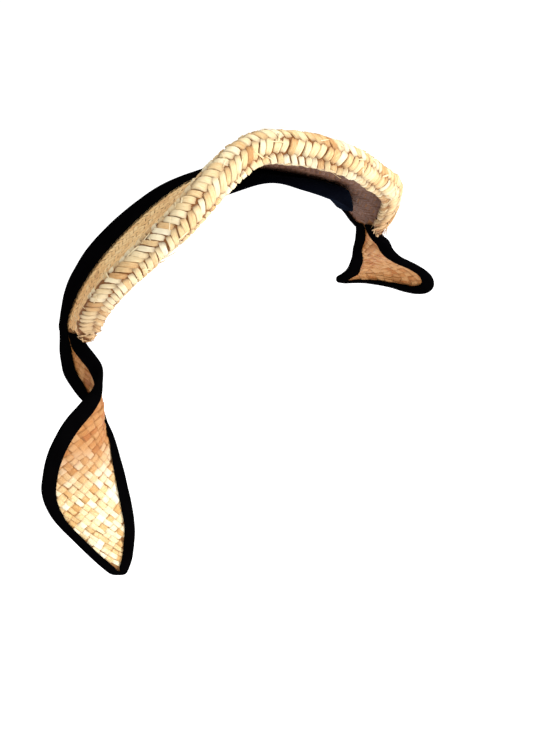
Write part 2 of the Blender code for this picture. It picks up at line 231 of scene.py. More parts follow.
# A cut of velvet: flat is its (width, length), and area its area
Cut = namedtuple("Cut", "flat area")


def mirrored(rows, flipped):
    """A half table and its mirror image as one table; flipped names the columns that change sign."""
    left = [[-value if i in flipped else value for i, value in enumerate(row)] for row in rows[:0:-1]]
    return left + [list(row) for row in rows]


def smooth(rows, place):
    """The row at a place along a table, on a smooth curve through its rows."""
    place = min(max(place, 0.0), len(rows) - 1.0)
    first = min(int(place), len(rows) - 2)
    t = place - first
    a = rows[first]
    b = rows[first + 1]
    before = rows[first - 1] if first > 0 else [2 * p - q for p, q in zip(a, b)]
    after = rows[first + 2] if first + 2 < len(rows) else [2 * q - p for p, q in zip(a, b)]
    result = []
    for p0, p1, p2, p3 in zip(before, a, b, after):
        slope_in = (p2 - p0) / 2
        slope_out = (p3 - p1) / 2
        result.append(
            p1 * (2 * t ** 3 - 3 * t ** 2 + 1)
            + slope_in * (t ** 3 - 2 * t ** 2 + t)
            + p2 * (3 * t ** 2 - 2 * t ** 3)
            + slope_out * (t ** 3 - t ** 2)
        )
    return result


CROWN_ROWS = mirrored(CROWN_HALF, (0, 4))
CROWN_FRONT = len(CROWN_HALF) - 1
CROWN_END = len(CROWN_ROWS) - 1
CrownFrame = namedtuple("CrownFrame", "middle back top forward out radius start bulge flap")


def crown_frame(place):
    """The shell's cross-section at a place along its table.

    start is the angle at which the shell runs into the roll, from straight out towards the front.
    """
    row = dict(zip(CROWN_COLUMNS, smooth(CROWN_ROWS, place)))
    middle = Vector((row["x"], row["y"], row["z"]))
    back = Vector((row["back_x"], row["back_y"], row["back_z"]))
    forward = (middle - back).normalized()
    out = (middle + back) / 2 - HEAD_MIDDLE
    out = (out - forward * out.dot(forward)).normalized()
    radius = row["radius"] - STRAW_WALL / 2
    start = math.atan2(4 * row["bulge"] - radius, (middle - back).length)
    top = middle + (out * math.cos(start) + forward * math.sin(start)) * radius
    return CrownFrame(middle, back, top, forward, out, radius, start, row["bulge"], row["flap"])


def roll_point(frame, angle):
    """A point of the rolled front edge, at an angle from straight out towards the front."""
    return frame.middle + (frame.out * math.cos(angle) + frame.forward * math.sin(angle)) * frame.radius


def shell_point(place, inward):
    """A point of the shell at a distance in from its back edge."""
    frame = crown_frame(place)
    t = inward / (frame.top - frame.back).length
    return frame.back.lerp(frame.top, t) + frame.out * frame.bulge * 4 * t * (1 - t)


def shell_width(place):
    """The shell's width at a place, from its back edge to the roll."""
    frame = crown_frame(place)
    return (frame.top - frame.back).length


def shell_facing(place, inward):
    """The way out of the shell at one of its points."""
    near = max(inward - VELVET_WALL, 0.0)
    across = shell_point(place, inward + VELVET_WALL) - shell_point(place, near)
    first = max(place - SLOPE_STEP, 0.0)
    second = min(place + SLOPE_STEP, CROWN_END)
    along = shell_point(second, inward) - shell_point(first, inward)
    return across.cross(along).normalized()


def tail_rows(table, side):
    """A tail's table with its neck added, just below the end of the shell."""
    place = CROWN_END if side > 0 else 0
    end = crown_frame(place)
    ahead = crown_frame(place - NECK_LOOK * side)
    front = shell_point(place, shell_width(place) * NECK_SHARE)
    front = front + (end.middle - ahead.middle).normalized() * NECK_DROP
    back = end.back + (end.back - ahead.back).normalized() * NECK_DROP
    neck = [front.x, front.y, front.z, back.x, back.y, back.z, 0.0, NECK_FLAP]
    return [neck] + [list(row) for row in table]


def tail_edges(rows, place):
    """The front edge, the back edge and the bow of a tail at a place down it."""
    row = dict(zip(TAIL_COLUMNS, smooth(rows, place)))
    front = Vector((row["front_x"], row["front_y"], row["front_z"]))
    back = Vector((row["back_x"], row["back_y"], row["back_z"]))
    return front, back, row["bow"]


def tail_flap(rows, place):
    """How wide the velvet is at a place down a tail."""
    return smooth(rows, place)[TAIL_COLUMNS.index("flap")]


def tail_facing(rows, place):
    """The way that a tail's straw faces at a place down it, from front to back edge and down."""
    here = tail_edges(rows, place)
    above = tail_edges(rows, place - SLOPE_STEP)
    below = tail_edges(rows, place + SLOPE_STEP)
    down = (below[0] + below[1]) - (above[0] + above[1])
    return (here[1] - here[0]).cross(down).normalized()


def tail_point(rows, place, across):
    """A point of a tail: across is 0 at its front edge and 1 at its back edge."""
    front, back, bow = tail_edges(rows, place)
    return front.lerp(back, across) + tail_facing(rows, place) * bow * 4 * across * (1 - across)


def tail_normal(rows, place, across):
    """The way out of a tail's surface at one of its points."""
    up = tail_point(rows, max(place - TAIL_SLOPE_STEP, 0.0), across)
    down = tail_point(rows, min(place + TAIL_SLOPE_STEP, len(rows) - 1.0), across)
    near = tail_point(rows, place, max(across - TAIL_SLOPE_STEP, 0.0))
    far = tail_point(rows, place, min(across + TAIL_SLOPE_STEP, 1.0))
    return (far - near).cross(down - up).normalized()


def fold_section(edge, facing, outward, over, under, gap):
    """A velvet fold: from its inner end on one face, round the straw's edge, to the other face.

    over and under are the points halfway in and at the inner end on each face, with their facings.
    """
    corner = math.sqrt(0.5)
    (over_half, over_half_facing), (over_end, over_end_facing) = over
    (under_half, under_half_facing), (under_end, under_end_facing) = under
    return [
        over_end + over_end_facing * gap,
        over_half + over_half_facing * gap * FLAP_PUFF,
        edge + facing * gap,
        edge + (facing + outward) * gap * corner,
        edge + outward * gap,
        edge + (outward - facing) * gap * corner,
        edge - facing * gap,
        under_half - under_half_facing * gap * FLAP_PUFF,
        under_end - under_end_facing * gap,
    ]


def fold_gap(straw_wall):
    """From the middle of the straw to the middle of the velvet folded over it."""
    return straw_wall / 2 + FIT_GAP + VELVET_WALL / 2


def back_fold(place):
    """The velvet fold on the shell's back edge at a place along it."""
    flap = crown_frame(place).flap
    edge = shell_point(place, 0.0)
    facing = shell_facing(place, 0.0)
    inward = shell_point(place, VELVET_WALL) - edge
    outward = -(inward - facing * inward.dot(facing)).normalized()
    over, under = (
        [(shell_point(place, reach * part), shell_facing(place, reach * part)) for part in (0.5, 1.0)]
        for reach in (flap, min(flap, UNDER_FLAP))
    )
    return fold_section(edge, facing, outward, over, under, fold_gap(STRAW_WALL))


def tail_fold(rows):
    """The velvet fold all round a tail: down its front edge, round the tip and up its back edge."""
    last = len(rows) - 1.0
    gap = fold_gap(TAIL_WALL)
    sections = []
    stops = [(last * i / TAIL_STATIONS, 0.0) for i in range(TAIL_STATIONS + 1)]
    stops += [(last, 0.5)]
    stops += [(last * i / TAIL_STATIONS, 1.0) for i in range(TAIL_STATIONS, -1, -1)]
    points = [tail_point(rows, place, across) for place, across in stops]
    for i, (place, across) in enumerate(stops):
        edge = points[i]
        along = points[min(i + 1, len(points) - 1)] - points[max(i - 1, 0)]
        facing = tail_normal(rows, place, across)
        outward = along.cross(facing).normalized()
        middle = tail_point(rows, place, 0.5)
        if across == 0.5:
            outward = (edge - tail_point(rows, last - TIP_LOOK, 0.5)).normalized()
        elif outward.dot(middle - edge) > 0:
            outward = -outward
        width = (tail_point(rows, place, 1.0) - tail_point(rows, place, 0.0)).length
        if across == 0.5 or place == last:
            inner_place = last - TIP_REACH
            inner_across = 0.5 + (across - 0.5) * 2 * TIP_SPREAD
        else:
            inner_place = place
            share = min(tail_flap(rows, place) / width, 0.5 - BARE_HALF / width)
            inner_across = share if across == 0.0 else 1 - share
        halfway = ((place + inner_place) / 2, (across + inner_across) / 2)
        stops_in = (halfway, (inner_place, inner_across))
        flap = [(tail_point(rows, *stop), tail_normal(rows, *stop)) for stop in stops_in]
        sections.append(fold_section(edge, facing, outward, flap, flap, gap))
    return sections


BANDEAU_ROWS = mirrored(BANDEAU_HALF, (0, 3))


def on_head(angle, y, lift):
    """A point above the head: angle from straight up towards the wearer's left, y, and the lift."""
    share = math.sqrt(1 - ((y - HEAD_MIDDLE.y) / (HEAD_HALF_DEPTH + lift)) ** 2)
    across = (HEAD_HALF_WIDTH + lift) * math.sin(angle) * share
    up = (HEAD_HALF_HEIGHT + lift) * math.cos(angle) * share
    return HEAD_MIDDLE + Vector((across, y - HEAD_MIDDLE.y, up))


def bandeau_section(place):
    """Points across the bandeau from its front edge to its back edge."""
    row = dict(zip(BANDEAU_COLUMNS, smooth(BANDEAU_ROWS, place)))
    front = on_head(math.radians(row["angle"]), row["front_y"], row["lift"] + BANDEAU_WALL / 2)
    seat = CROWN_FRONT + row["along"]
    below = fold_gap(STRAW_WALL) + VELVET_WALL / 2 + BANDEAU_GAP + BANDEAU_WALL / 2
    back = shell_point(seat, BANDEAU_SEAT) - shell_facing(seat, BANDEAU_SEAT) * below
    out = ((front + back) / 2 - HEAD_MIDDLE).normalized()
    points = [front]
    for step in range(1, BANDEAU_STEPS + 1):
        t = step / BANDEAU_STEPS
        across = front.lerp(back, t) + out * row["swell"] * SWELL_SHAPE * t * (1 - t) ** 2
        inward = BANDEAU_SEAT + (row["reach"] - BANDEAU_SEAT) * (BANDEAU_STEPS - step) / (BANDEAU_STEPS - 1)
        lining = shell_point(seat, inward) - shell_facing(seat, inward) * below
        points.append(across.lerp(lining, row["hug"]))
    return points


def make_mesh_object(name, vertices, faces, material=None):
    """An object at the origin with its place in its mesh."""
    mesh = bpy.data.meshes.new(name)
    mesh.from_pydata(vertices, [], faces)
    mesh.shade_smooth()
    if material is not None:
        mesh.materials.append(material)
    item = bpy.data.objects.new(name, mesh)
    bpy.context.scene.collection.objects.link(item)
    return item


def grid_faces(rows, columns):
    """The quads of a grid of vertices that is stored row by row."""
    faces = []
    for row in range(rows - 1):
        for column in range(columns - 1):
            corner = row * columns + column
            faces.append((corner, corner + 1, corner + columns + 1, corner + columns))
    return faces


def finished(item):
    """The item with its modifiers carried out, as a plain mesh object of the same name."""
    name = item.name
    layer = bpy.context.evaluated_depsgraph_get()
    mesh = bpy.data.meshes.new_from_object(item.evaluated_get(layer), depsgraph=layer)
    bpy.data.objects.remove(item)
    mesh.name = name
    result = bpy.data.objects.new(name, mesh)
    bpy.context.scene.collection.objects.link(result)
    return result


def roughen(item, amount, size):
    """Moves the item's vertices about by a smooth noise with features of the size."""
    for vertex in item.data.vertices:
        vertex.co += noise.noise_vector(vertex.co / size) * amount


def face_out(item):
    """Turns the item's faces outward if its closed parts have them inward."""
    solid = bmesh.new()
    solid.from_mesh(item.data)
    inward = solid.calc_volume(signed=True) < 0
    solid.free()
    if inward:
        item.data.flip_normals()


def make_sheet(name, sections, wall, material, rounding=0, pucker=0.0):
    """A closed sheet through its sections, with its wall, as a plain mesh. rounding is how often its
    edges are softened, and pucker how far its cloth strays."""
    vertices = [point for section in sections for point in section]
    sheet = make_mesh_object(name, vertices, grid_faces(len(sections), len(sections[0])), material)
    roughen(sheet, pucker, PUCKER_SIZE)
    solid = sheet.modifiers.new("Wall", "SOLIDIFY")
    solid.thickness = wall
    solid.offset = 0.0
    solid.use_even_offset = True
    if rounding:
        soft = sheet.modifiers.new("Soft edges", "SUBSURF")
        soft.levels = rounding
        soft.render_levels = rounding
    made = finished(sheet)
    face_out(made)
    return made


class Tree:
    """A node tree that is written as short calls."""

    def __init__(self, tree):
        self.tree = tree

    def fill(self, node, given):
        """Gives the node's inputs their values, or links them to the sockets given."""
        for key, value in given.items():
            socket = node.inputs[key]
            if isinstance(value, bpy.types.NodeSocket):
                self.tree.links.new(value, socket)
            else:
                socket.default_value = value

    def add(self, kind, given=None, **settings):
        made = self.tree.nodes.new(kind)
        for key, value in settings.items():
            setattr(made, key, value)
        self.fill(made, given or {})
        return made

    def math(self, operation, first, second=0.0):
        return self.add("ShaderNodeMath", {0: first, 1: second}, operation=operation).outputs[0]

    def total(self, *parts):
        result = parts[0]
        for part in parts[1:]:
            result = self.math("ADD", result, part)
        return result

    def product(self, *parts):
        result = parts[0]
        for part in parts[1:]:
            result = self.math("MULTIPLY", result, part)
        return result

    def blend(self, share, first, second):
        mix = self.add("ShaderNodeMix", {0: share, 6: first, 7: second}, data_type="RGBA")
        return mix.outputs[2]

    def point(self, *parts):
        return self.add("ShaderNodeCombineXYZ", dict(enumerate(parts))).outputs[0]

    def grain(self, place, scale, detail, roughness):
        return self.add("ShaderNodeTexNoise", {
            "Vector": place, "Scale": scale, "Detail": detail, "Roughness": roughness,
        }).outputs["Fac"]

    def bump(self, height, strength, distance):
        given = {"Height": height, "Strength": strength, "Distance": distance}
        return self.add("ShaderNodeBump", given).outputs["Normal"]


def plait_tree():
    """Geometry nodes that lay a diagonal plait of straw strands over a carrier's places."""
    tree = bpy.data.node_groups.new("Straw plait", "GeometryNodeTree")
    face = tree.interface
    face.new_socket("Geometry", in_out="INPUT", socket_type="NodeSocketGeometry")
    face.new_socket("Strand", in_out="INPUT", socket_type="NodeSocketObject")
    for name in ("Start Along", "Start Across", "Pitch", "Lean", "Relief", "Bed", "Strand Width",
                 "Strand Length", "Unevenness", "Tilt"):
        face.new_socket(name, in_out="INPUT", socket_type="NodeSocketFloat")
    for name in ("Columns", "Rows", "Float", "Seed"):
        face.new_socket(name, in_out="INPUT", socket_type="NodeSocketInt")
    face.new_socket("Material", in_out="INPUT", socket_type="NodeSocketMaterial")
    face.new_socket("Geometry", in_out="OUTPUT", socket_type="NodeSocketGeometry")
    t = Tree(tree)
    given = t.add("NodeGroupInput").outputs
    index = t.add("GeometryNodeInputIndex").outputs[0]
    count = t.product(given["Columns"], given["Rows"])
    row = t.math("FLOOR", t.math("DIVIDE", t.total(index, 0.5), given["Columns"]))
    column = t.math("SUBTRACT", index, t.product(row, given["Columns"]))
    odd = t.math("MODULO", row, 2.0)

    # Strands of even rows lean one way and of odd rows the other, each over as many as it floats
    half_float = t.product(t.math("SUBTRACT", given["Float"], 1.0), 0.5)
    odd_shift = t.math("SUBTRACT", 0.5, t.product(given["Float"], 1.5))
    shift = t.total(half_float, t.product(odd, t.math("SUBTRACT", odd_shift, half_float)))
    along_count = t.total(t.product(column, 2.0), shift)
    across_count = t.total(t.product(row, given["Float"]), half_float)
    run = t.product(given["Pitch"], t.math("COSINE", given["Lean"]))
    rise = t.product(given["Pitch"], t.math("SINE", given["Lean"]))

    def chance(name, *factors):
        """What chance gives each strand of the name, times the factors and its share."""
        salt, low, high, share = CHANCES[name]
        drawn = t.add("FunctionNodeRandomValue", {
            2: low, 3: high, 7: index, 8: t.total(given["Seed"], salt),
        }).outputs[1]
        return t.product(drawn, *factors, share)

    uneven = given["Unevenness"]
    pitch = given["Pitch"]
    place = t.point(
        t.total(given["Start Along"], t.product(along_count, run), chance("along", uneven, pitch)),
        t.total(given["Start Across"], t.product(across_count, rise), chance("across", uneven, pitch)),
    )
    points = t.add("GeometryNodePoints", {"Count": count, "Position": place}).outputs[0]
    sign = t.math("SUBTRACT", 1.0, t.product(odd, 2.0))
    strand = t.total(
        t.math("SUBTRACT", along_count, t.product(sign, across_count)), t.product(odd, ODD_ROWS_APART),
    )
    strand_tone = t.add("FunctionNodeRandomValue", {
        2: 0.0, 3: 1.0, 7: t.math("ROUND", strand), 8: given["Seed"],
    }).outputs[1]
    tone = t.total(t.product(strand_tone, STRAND_TONE), chance("tone"))

    # The strand is 2 long and 2 wide, so its scale is half its size
    size = t.point(
        t.product(given["Strand Length"], t.total(0.5, chance("length", uneven))),
        t.product(given["Strand Width"], t.total(0.5, chance("width", uneven))),
        t.product(given["Relief"], t.total(1.0, chance("height", uneven))),
    )
    rotation = t.point(
        chance("roll", given["Tilt"]),
        chance("pitch", given["Tilt"]),
        t.total(t.product(sign, given["Lean"]), chance("turn", uneven)),
    )
    strand_shape = t.add("GeometryNodeObjectInfo", {"Object": given["Strand"]}).outputs["Geometry"]
    placed = t.add("GeometryNodeInstanceOnPoints", {
        "Points": points, "Instance": strand_shape, "Rotation": rotation, "Scale": size,
    }).outputs[0]
    toned = t.add("GeometryNodeStoreNamedAttribute", {
        "Geometry": placed, "Name": "tone", "Value": tone,
    }, data_type="FLOAT", domain="INSTANCE").outputs[0]
    flat = t.add("GeometryNodeRealizeInstances", {"Geometry": toned}).outputs[0]

    # The flat plait is laid on the carrier by its places, and strands that reach past it go
    position = t.add("GeometryNodeInputPosition").outputs[0]
    spread = t.add("ShaderNodeSeparateXYZ", {0: position}).outputs
    flat_place = t.point(spread[0], spread[1])
    source = t.add("GeometryNodeInputNamedAttribute", {"Name": "plait_place"}, data_type="FLOAT_VECTOR")
    out = t.add("GeometryNodeInputNamedAttribute", {"Name": "plait_out"}, data_type="FLOAT_VECTOR")

    def sampled(value):
        return t.add("GeometryNodeSampleUVSurface", {
            "Mesh": given["Geometry"], "Value": value,
            "UV Map": source.outputs[0], "Sample UV": flat_place,
        }, data_type="FLOAT_VECTOR").outputs

    ground = sampled(position)
    way_out = sampled(out.outputs[0])
    height = t.total(spread[2], given["Bed"])
    lift = t.add("ShaderNodeVectorMath", {0: way_out[0], "Scale": height}, operation="SCALE").outputs[0]
    spot = t.add("ShaderNodeVectorMath", {0: ground[0], 1: lift}, operation="ADD").outputs[0]
    off = t.math("SUBTRACT", 1.0, ground[1])
    marked = t.add("GeometryNodeStoreNamedAttribute", {
        "Geometry": flat, "Name": "off", "Value": off,
    }, data_type="FLOAT", domain="POINT").outputs[0]
    laid = t.add("GeometryNodeSetPosition", {"Geometry": marked, "Position": spot}).outputs[0]
    island = t.add("GeometryNodeInputMeshIsland").outputs[0]
    off_mark = t.add("GeometryNodeInputNamedAttribute", {"Name": "off"}, data_type="FLOAT").outputs[0]
    off_count = t.add("GeometryNodeAccumulateField", {"Value": off_mark, "Group ID": island}).outputs["Total"]
    kept = t.add("GeometryNodeDeleteGeometry", {
        "Geometry": laid, "Selection": t.math("GREATER_THAN", off_count, 0.5),
    }, domain="POINT").outputs[0]
    painted = t.add("GeometryNodeSetMaterial", {"Geometry": kept, "Material": given["Material"]}).outputs[0]
    result = t.add("NodeGroupOutput")
    tree.links.new(painted, result.inputs[0])
    return tree


def make_strand(name, stations, profile):
    """One closed length of straw, 2 long and 2 wide: stations are (along, width, height) down its
    length, and the profile is (across, drop) over its top."""
    vertices = []
    for along, width, height in stations:
        vertices.extend((along, across * width, height + drop) for across, drop in profile)
    rows = len(stations)
    columns = len(profile)
    faces = [face[::-1] for face in grid_faces(rows, columns)]
    for row in range(rows - 1):
        left = row * columns
        faces.append((left, left + columns, left + 2 * columns - 1, left + columns - 1))
    faces.append(tuple(range(columns)))
    faces.append(tuple(range((rows - 1) * columns, rows * columns))[::-1])
    strand = make_mesh_object(name, vertices, faces)
    for label, axis in (("strand_along", 0), ("strand_across", 1)):
        measure = strand.data.attributes.new(label, "FLOAT", "POINT")
        measure.data.foreach_set("value", [vertex[axis] for vertex in vertices])
    return strand


def make_carrier(name, rows, flipped=False):
    """An open grid that carries a plait: rows of (point, (along, across)); its facing is kept as
    an attribute, and flipped turns it round."""
    columns = len(rows[0])
    vertices = [point for row in rows for point, place in row]
    carrier = make_mesh_object(name, vertices, grid_faces(len(rows), columns))
    places = carrier.data.attributes.new("plait_place", "FLOAT2", "POINT")
    places.data.foreach_set("vector", [value for row in rows for point, place in row for value in place])
    facings = []
    for i, row in enumerate(rows):
        above = rows[max(i - 1, 0)]
        below = rows[min(i + 1, len(rows) - 1)]
        for j in range(columns):
            across = row[min(j + 1, columns - 1)][0] - row[max(j - 1, 0)][0]
            along = below[j][0] - above[j][0]
            facing = across.cross(along).normalized()
            facings.extend(-facing if flipped else facing)
    carrier.data.attributes.new("plait_out", "FLOAT_VECTOR", "POINT").data.foreach_set("vector", facings)
    return carrier


def lay_plait(name, rows, material, strand, kind, bed, seed, flipped=False):
    """The plait over a grid of rows of (point, place), as a plain mesh."""
    along = [place[0] for row in rows for point, place in row]
    across = [place[1] for row in rows for point, place in row]
    run = 2 * kind.pitch * math.cos(kind.lean)
    rise = kind.floats * kind.pitch * math.sin(kind.lean)
    values = {
        "Strand": strand,
        "Start Along": min(along),
        "Start Across": min(across) - kind.ahead,
        "Pitch": kind.pitch,
        "Lean": kind.lean,
        "Relief": kind.relief,
        "Bed": bed,
        "Strand Width": kind.pitch * math.sin(2 * kind.lean) * kind.fullness,
        "Strand Length": (kind.floats + kind.tuck) * kind.pitch,
        "Unevenness": kind.unevenness,
        "Tilt": kind.tilt,
        "Columns": int((max(along) - min(along)) / run) + 3,
        "Rows": int((max(across) - min(across) + kind.ahead) / rise) + 3,
        "Float": kind.floats,
        "Seed": seed,
        "Material": material,
    }
    carrier = make_carrier(name, rows, flipped)
    modifier = carrier.modifiers.new("Plait", "NODES")
    modifier.node_group = PLAIT
    for socket in PLAIT.interface.items_tree:
        if socket.in_out == "INPUT" and socket.name in values:
            modifier[socket.identifier] = values[socket.name]
    laid = finished(carrier)
    roughen(laid, kind.roughness, ROUGHNESS_SIZE)
    roughen(laid, kind.roughness * FINE_SHARE, FINE_SIZE)
    face_out(laid)
    laid.data.shade_smooth()
    return laid


def crown_point(place, along):
    """A point of the straw at a distance from the back edge, over the shell and round the roll."""
    shape = crown_frame(place)
    width = shell_width(place)
    if along < width:
        return shell_point(place, along)
    return roll_point(shape, shape.start + (along - width) / shape.radius)


def capped_point(end, side, along, turn):
    """A point of the rounded end of the roll: turn is 0 at the solid's end and a right angle at the
    tip. The shell beside it only runs on a little."""
    shape = crown_frame(end)
    ahead = crown_frame(end - NECK_LOOK * side)
    onward = (shape.middle - ahead.middle).normalized()
    share = min(max((along - shell_width(end)) / ROLL_BLEND + 1, 0.0), 1.0)
    point = crown_point(end, along)
    shrunk = shape.middle.lerp(point, math.cos(turn))
    reach = SHELL_LAP + (shape.radius + STRAW_WALL / 2 - SHELL_LAP) * share
    return point.lerp(shrunk, share) + onward * reach * math.sin(turn)


def crown_rows(stations, steps, first, last):
    """The crown's sheet as rows of (point, place). first and last say how far in from the back edge:
    1 is where the shell becomes the roll and 2 the roll's inner end. A plait that starts further in
    than the back edge has its places counted from the roll."""
    rows = []
    travelled = 0.0
    before = None
    stops = [(0, -1, CAP_TURN * (CAP_STEPS - i) / CAP_STEPS) for i in range(CAP_STEPS)]
    stops += [(CROWN_END * i / stations, 0, 0.0) for i in range(stations + 1)]
    stops += [(CROWN_END, 1, CAP_TURN * (i + 1) / CAP_STEPS) for i in range(CAP_STEPS)]
    for place, side, turn in stops:
        shape = crown_frame(place)
        width = shell_width(place)
        girth = shape.radius * (ROLL_TURN - shape.start)
        low = width * first
        high = width + (last - 1) * girth if last > 1 else width * last
        origin = width if first > 0 else 0.0
        row = []
        for j in range(steps + 1):
            along = low + (high - low) * j / steps
            point = capped_point(place, side, along, turn) if side else crown_point(place, along)
            row.append((point, along))
        middle = row[len(row) // 2][0]
        if before is not None:
            travelled += (middle - before).length
        before = middle
        rows.append([(point, (travelled, along - origin)) for point, along in row])
    return rows


def tail_grid(rows, stations, steps):
    """A tail's sheet as rows of (point, place), with its places counted from its middle line."""
    last = len(rows) - 1.0
    grid = []
    travelled = 0.0
    before = None
    for i in range(stations + 1):
        place = last * i / stations
        points = [tail_point(rows, place, j / steps) for j in range(steps + 1)]
        middle = tail_point(rows, place, 0.5)
        if before is not None:
            travelled += (middle - before).length
        before = middle
        width = (points[-1] - points[0]).length
        grid.append([(p, (travelled, (j / steps - 0.5) * width)) for j, p in enumerate(points)])
    return grid


def lapped(rows):
    """A tail's rows with their neck drawn up over the end of the shell, so that no gap shows."""
    neck = list(rows[0])
    for first in (0, 3):
        edge = Vector(rows[0][first:first + 3])
        way = (edge - Vector(rows[1][first:first + 3])).normalized()
        neck[first:first + 3] = edge + way * NECK_LAP
    return [neck] + rows[1:]


def new_group(name, given, made):
    """A shader node group and its sockets: given and made are lists of (name, kind, default)."""
    group = bpy.data.node_groups.new(name, "ShaderNodeTree")
    for label, kind, value in given:
        group.interface.new_socket(label, in_out="INPUT", socket_type=kind).default_value = value
    for label, kind in made:
        group.interface.new_socket(label, in_out="OUTPUT", socket_type=kind)
    t = Tree(group)
    return group, t, t.add("NodeGroupInput").outputs, t.add("NodeGroupOutput").inputs


# What the tone of a strand is mixed from, and by how much the mix is moved
TONE_SHARE = 0.56
FIBRE_SHARE = 0.62
PATCH_SHARE = 0.56
MIX_SHIFT = -0.43
FIBRE_ALONG = 0.9
FIBRE_ACROSS = 6.0
FIBRE_APART = 240.0
END_FALL = 3.0
SIDE_FALL = 7.0
SIDE_SHADE = 0.6
FIBRE_GLOSS = 0.22

# How dark and how light the velvet's pile is crushed, and what each kind of grain adds to its height
PILE_DARK = 0.4
PILE_LIGHT = 1.6
NAP_SHARE = 0.6
CRUSH_SHARE = 0.5

# The heights between which painted shade turns the straw brown towards the ears, from above, and from below
PAINTED_EAR_SHADE_HEIGHTS = ((-0.018, -0.056), (-0.142, -0.112))


def fibre_group():
    """What every strand of straw shares: its mixed tone, its shade at the ends and sides, its fibres,
    and how far painted shade browns it at the ears."""
    number = "NodeSocketFloat"
    group, t, given, made = new_group(
        "Straw fibres", [("Patch Scale", number, 46.0), ("End Shade", number, 0.8)],
        [("Mixed", number), ("Shade", number), ("Fibre", number), ("Browned", number)],
    )

    def read(attribute):
        return t.add("ShaderNodeAttribute", attribute_name=attribute).outputs["Fac"]

    tone = read("tone")
    along = read("strand_along")
    across = read("strand_across")
    fibre_place = t.point(
        t.product(along, FIBRE_ALONG), t.product(across, FIBRE_ACROSS), t.product(tone, FIBRE_APART),
    )
    fibre = t.grain(fibre_place, scale=1.6, detail=5.0, roughness=0.62)
    object_place = t.add("ShaderNodeTexCoord").outputs["Object"]
    patch = t.grain(object_place, given["Patch Scale"], detail=4.0, roughness=0.6)
    mixed = t.total(
        t.product(tone, TONE_SHARE), t.product(fibre, FIBRE_SHARE), t.product(patch, PATCH_SHARE), MIX_SHIFT,
    )
    ends = t.math("POWER", t.math("ABSOLUTE", along), END_FALL)
    sides = t.product(t.math("POWER", t.math("ABSOLUTE", across), SIDE_FALL), SIDE_SHADE)
    shade = t.product(t.math("MAXIMUM", ends, sides), given["End Shade"])

    # Painted shade: the straw is darker and browner at the ears, from the ends of the roll to the top of the
    # tails
    height = t.add("ShaderNodeSeparateXYZ", {0: object_place}).outputs[2]
    above, below = (
        t.add("ShaderNodeMapRange", {0: height, 1: plain, 2: brown, 3: 0.0, 4: 1.0}).outputs[0]
        for plain, brown in PAINTED_EAR_SHADE_HEIGHTS
    )
    painted_ear_shade = t.math("MINIMUM", above, below)
    for label, value in (("Mixed", mixed), ("Shade", shade), ("Fibre", fibre), ("Browned", painted_ear_shade)):
        t.tree.links.new(value, made[label])
    return group


def new_material(name):
    """A material, its tree and its shader."""
    material = bpy.data.materials.new(name)
    material.use_nodes = True
    return material, Tree(material.node_tree), material.node_tree.nodes["Principled BSDF"]


def straw_material(name, tones, shaded, painted_ear_shade, roughness, end_shade):
    """Plaited straw: each strand has its own tone, with fibres along it and darker ends."""
    material, t, shader = new_material(name)
    fibres = t.add("ShaderNodeGroup", node_tree=FIBRES)
    fibres.inputs["End Shade"].default_value = end_shade
    ramp = t.add("ShaderNodeValToRGB", {0: fibres.outputs["Mixed"]})
    elements = ramp.color_ramp.elements
    while len(elements) < len(tones):
        elements.new(0.5)
    for element, (position, colour) in zip(elements, tones):
        element.position = position
        element.color = (*colour, 1.0)
    # Painted shade at the ears: the straw's colour is multiplied towards a dark brown there
    brown = t.add("ShaderNodeMix", {
        0: fibres.outputs["Browned"], 6: ramp.outputs["Color"], 7: (*painted_ear_shade, 1.0),
    }, data_type="RGBA", blend_type="MULTIPLY").outputs[2]
    t.fill(shader, {
        "Base Color": t.blend(fibres.outputs["Shade"], brown, (*shaded, 1.0)),
        "Roughness": t.total(roughness, t.product(fibres.outputs["Fibre"], FIBRE_GLOSS)),
        "Normal": t.bump(fibres.outputs["Fibre"], strength=0.9, distance=0.00035),
        "Specular IOR Level": 0.35,
    })
    return material


def backing_material(name, dark, light):
    """The straw that shows between the strands: brown, in shade."""
    material, t, shader = new_material(name)
    object_place = t.add("ShaderNodeTexCoord").outputs["Object"]
    grain = t.grain(object_place, scale=700.0, detail=4.0, roughness=0.6)
    t.fill(shader, {
        "Base Color": t.blend(grain, (*dark, 1.0), (*light, 1.0)),
        "Normal": t.bump(grain, strength=0.6, distance=0.0003),
        "Roughness": 0.75,
        "Specular IOR Level": 0.2,
    })
    return material


def velvet_material(name, pile, sheen, tint):
    """Black velvet: a short pile, crushed here and there, that may catch a faint light at its edges."""
    material, t, shader = new_material(name)
    object_place = t.add("ShaderNodeTexCoord").outputs["Object"]
    crush = t.grain(object_place, scale=110.0, detail=3.0, roughness=0.5)
    nap = t.grain(object_place, scale=2600.0, detail=2.0, roughness=0.6)
    darker = tuple(value * PILE_DARK for value in pile) + (1.0,)
    lighter = tuple(value * PILE_LIGHT for value in pile) + (1.0,)
    height = t.total(t.product(nap, NAP_SHARE), t.product(crush, CRUSH_SHARE))
    t.fill(shader, {
        "Base Color": t.blend(crush, darker, lighter),
        "Normal": t.bump(height, strength=0.5, distance=0.0004),
        "Roughness": 0.95,
        "Specular IOR Level": 0.0,
        "Sheen Weight": sheen,
        "Sheen Roughness": 0.42,
        "Sheen Tint": tint,
    })
    return material


